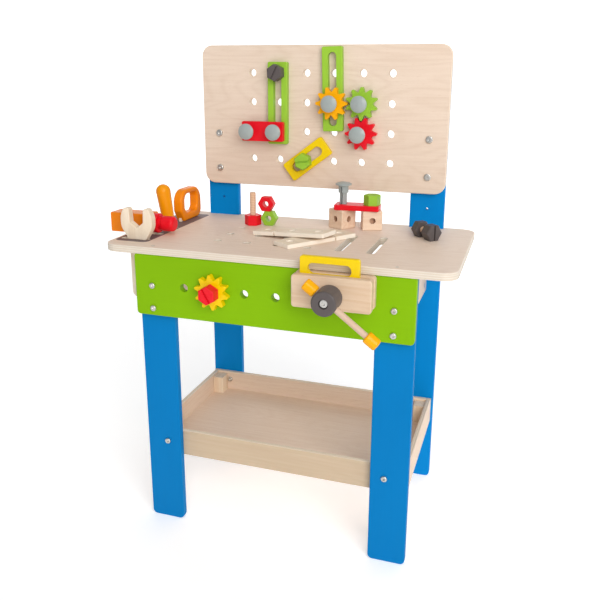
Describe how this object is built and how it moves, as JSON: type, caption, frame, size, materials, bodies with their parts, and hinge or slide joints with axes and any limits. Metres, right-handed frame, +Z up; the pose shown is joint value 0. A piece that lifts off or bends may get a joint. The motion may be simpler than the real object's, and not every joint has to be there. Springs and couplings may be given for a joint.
{
  "type": "toy workbench",
  "caption": "Child's wooden workbench with a pegboard back, front vise, lower tray, hand tools in slots, and gears, bars, bolts, nuts and planks to build with.",
  "frame": {"origin": "on the floor under the middle of the whole bench, at rest", "axes": "+Z up, +X to the right seen from the front, the front with the vise faces -Y"},
  "size_m": [0.587, 0.3714, 0.8],
  "materials": {
    "blue_paint": "satin paint on birch plywood",
    "green_paint": "satin paint on birch plywood",
    "red_paint": "satin paint on wood",
    "amber_paint": "satin paint on wood",
    "orange_paint": "satin paint on wood",
    "yellow_paint": "satin paint on plywood",
    "dark_paint": "satin paint on wood",
    "birch_ply": "clear lacquer on birch plywood",
    "natural_wood": "clear lacquer on beech",
    "grey_plastic": "smooth moulded",
    "steel": "plated"
  },
  "bodies": {
    "bench": {"tabletop": "birch_ply", "front_apron": "green_paint", "side_panel_left": "natural_wood", "side_panel_right": "natural_wood", "front_leg_left": "blue_paint", "front_leg_right": "blue_paint", "rear_leg_left": "blue_paint", "rear_leg_right": "blue_paint", "pegboard": "birch_ply", "tray_floor": "birch_ply", "tray_front": "birch_ply", "tray_back": "birch_ply", "tray_sides": "birch_ply", "tray_blocks": "natural_wood", "frame_bolts": "steel", "barrel_nuts": "steel", "pegboard_bolts": "steel", "table_screws": "steel", "vise_fixed_jaw": "natural_wood", "vise_nut_block": "natural_wood", "green_bar_left": "green_paint", "red_bar": "red_paint", "peg_rivets": "grey_plastic", "bolt_nuts": "dark_paint"},
    "vise_jaw": {"vise_jaw": "natural_wood", "vise_guide_pins": "natural_wood"},
    "vise_screw": {"vise_screw": "natural_wood", "vise_knob": "dark_paint", "knob_bolt": "steel"},
    "tommy_bar": {"tommy_bar": "natural_wood", "tommy_caps": "amber_paint"},
    "grip_plate": {"grip_plate": "yellow_paint"},
    "green_gear": {"green_gear": "green_paint"},
    "red_gear": {"red_gear": "red_paint"},
    "orange_gear": {"orange_gear": "amber_paint"},
    "yellow_gear": {"yellow_gear": "yellow_paint"},
    "dark_peg_bolt": {"dark_peg_bolt": "dark_paint"},
    "green_peg_bolt": {"green_peg_bolt": "green_paint"},
    "red_apron_bolt": {"red_apron_bolt": "red_paint"},
    "green_bar_centre": {"green_bar_centre": "green_paint"},
    "peg_plate": {"peg_plate": "yellow_paint"},
    "wrench": {"wrench": "natural_wood"},
    "hammer": {"hammer_head": "orange_paint", "hammer_face": "red_paint", "hammer_handle": "natural_wood"},
    "screwdriver": {"screwdriver": "amber_paint"},
    "saw": {"saw_handle": "orange_paint", "saw_blade": "natural_wood"},
    "red_bolt": {"red_bolt": "red_paint"},
    "green_nut": {"green_nut": "green_paint"},
    "red_nut": {"red_nut": "red_paint"},
    "lower_plank": {"lower_plank": "natural_wood"},
    "upper_plank": {"upper_plank": "natural_wood"},
    "cube_left": {"cube_left": "natural_wood"},
    "cube_right": {"cube_right": "natural_wood"},
    "red_plank": {"red_plank": "red_paint"},
    "green_bolt": {"green_bolt": "green_paint"},
    "loose_rivet": {"loose_rivet": "grey_plastic"},
    "dark_bolt": {"dark_bolt": "dark_paint"},
    "dark_nut": {"dark_nut": "dark_paint"}
  },
  "joints": [
    {"name": "vise_jaw_slide", "type": "slide", "parent": "bench", "child": "vise_jaw", "axis": [0, -1, 0], "range_m": [0, 0.03]},
    {"name": "vise_screw_turn", "type": "hinge", "parent": "vise_jaw", "child": "vise_screw", "pos_m": [0.1225, -0.18575, 0.4495], "axis": [0, -1, 0], "range_deg": [-5, 2705]},
    {"name": "tommy_bar_slide", "type": "slide", "parent": "vise_screw", "child": "tommy_bar", "axis": [-0.7944, 0, 0.6074], "range_m": [0, 0.0541]},
    {"name": "grip_plate_lift", "type": "slide", "parent": "bench", "child": "grip_plate", "axis": [0, 0, 1], "range_m": [0, 0.045]},
    {"name": "green_gear_turn", "type": "hinge", "parent": "bench", "child": "green_gear", "pos_m": [0.0904, 0.14975, 0.7022], "axis": [0, -1, 0], "continuous": true},
    {"name": "red_gear_turn", "type": "hinge", "parent": "bench", "child": "red_gear", "pos_m": [0.0904, 0.14975, 0.6516], "axis": [0, -1, 0], "continuous": true},
    {"name": "orange_gear_turn", "type": "hinge", "parent": "bench", "child": "orange_gear", "pos_m": [0.0398, 0.13875, 0.7022], "axis": [0, -1, 0], "continuous": true},
    {"name": "yellow_gear_turn", "type": "hinge", "parent": "bench", "child": "yellow_gear", "pos_m": [-0.0734, -0.12025, 0.428], "axis": [0, -1, 0], "continuous": true},
    {"name": "dark_peg_bolt_turn", "type": "hinge", "parent": "bench", "child": "dark_peg_bolt", "pos_m": [-0.0614, 0.14375, 0.7528], "axis": [0, -1, 0], "continuous": true},
    {"name": "green_peg_bolt_turn", "type": "hinge", "parent": "bench", "child": "green_peg_bolt", "pos_m": [-0.0108, 0.14575, 0.601], "axis": [0, -1, 0], "continuous": true},
    {"name": "red_apron_bolt_turn", "type": "hinge", "parent": "bench", "child": "red_apron_bolt", "pos_m": [-0.0734, -0.12625, 0.428], "axis": [0, -1, 0], "continuous": true},
    {"name": "green_bar_centre_slide", "type": "slide", "parent": "bench", "child": "green_bar_centre", "axis": [-0.0297, 0, 0.9996], "range_m": [-0.005, 0.03]},
    {"name": "peg_plate_swing", "type": "hinge", "parent": "bench", "child": "peg_plate", "pos_m": [-0.0108, 0.14975, 0.601], "axis": [0, -1, 0], "range_deg": [-100, 45]},
    {"name": "wrench_lift", "type": "slide", "parent": "bench", "child": "wrench", "axis": [0, 0, 1], "range_m": [0, 0.115]},
    {"name": "hammer_lift", "type": "slide", "parent": "bench", "child": "hammer", "axis": [0, 0, 1], "range_m": [0, 0.145]},
    {"name": "screwdriver_lift", "type": "slide", "parent": "bench", "child": "screwdriver", "axis": [-0.1478, 0, 0.989], "range_m": [0, 0.11]},
    {"name": "saw_lift", "type": "slide", "parent": "bench", "child": "saw", "axis": [0, 0, 1], "range_m": [0, 0.11]},
    {"name": "red_bolt_slide", "type": "slide", "parent": "bench", "child": "red_bolt", "axis": [-1, 0, 0], "range_m": [0, 0.06]},
    {"name": "green_nut_lift", "type": "slide", "parent": "bench", "child": "green_nut", "axis": [0, 0, 1], "range_m": [0, 0.06]},
    {"name": "red_nut_lift", "type": "slide", "parent": "green_nut", "child": "red_nut", "axis": [0, 0, 1], "range_m": [0, 0.06]},
    {"name": "lower_plank_lift", "type": "slide", "parent": "bench", "child": "lower_plank", "axis": [0, 0, 1], "range_m": [0, 0.06]},
    {"name": "upper_plank_lift", "type": "slide", "parent": "lower_plank", "child": "upper_plank", "axis": [0, 0, 1], "range_m": [0, 0.06]},
    {"name": "cube_left_slide", "type": "slide", "parent": "bench", "child": "cube_left", "axis": [-1, 0, 0], "range_m": [0, 0.06]},
    {"name": "cube_right_slide", "type": "slide", "parent": "bench", "child": "cube_right", "axis": [1, 0, 0], "range_m": [0, 0.04]},
    {"name": "red_plank_lift", "type": "slide", "parent": "cube_right", "child": "red_plank", "axis": [0, 0, 1], "range_m": [0, 0.025]},
    {"name": "green_bolt_lift", "type": "slide", "parent": "red_plank", "child": "green_bolt", "axis": [0, 0, 1], "range_m": [0, 0.05]},
    {"name": "loose_rivet_lift", "type": "slide", "parent": "red_plank", "child": "loose_rivet", "axis": [0, 0, 1], "range_m": [0, 0.04]},
    {"name": "dark_bolt_lift", "type": "slide", "parent": "bench", "child": "dark_bolt", "axis": [0, 0, 1], "range_m": [0, 0.06]},
    {"name": "dark_nut_slide", "type": "slide", "parent": "dark_bolt", "child": "dark_nut", "axis": [-0.6756, 0.7373, 0], "range_m": [-0.015, 0.028]}
  ],
  "couplings": [
    {"joint": "vise_screw_turn", "follows": "vise_jaw_slide", "rad_per_m": 1570.8},
    {"joint": "red_gear_turn", "follows": "green_gear_turn", "ratio": -1}
  ]
}
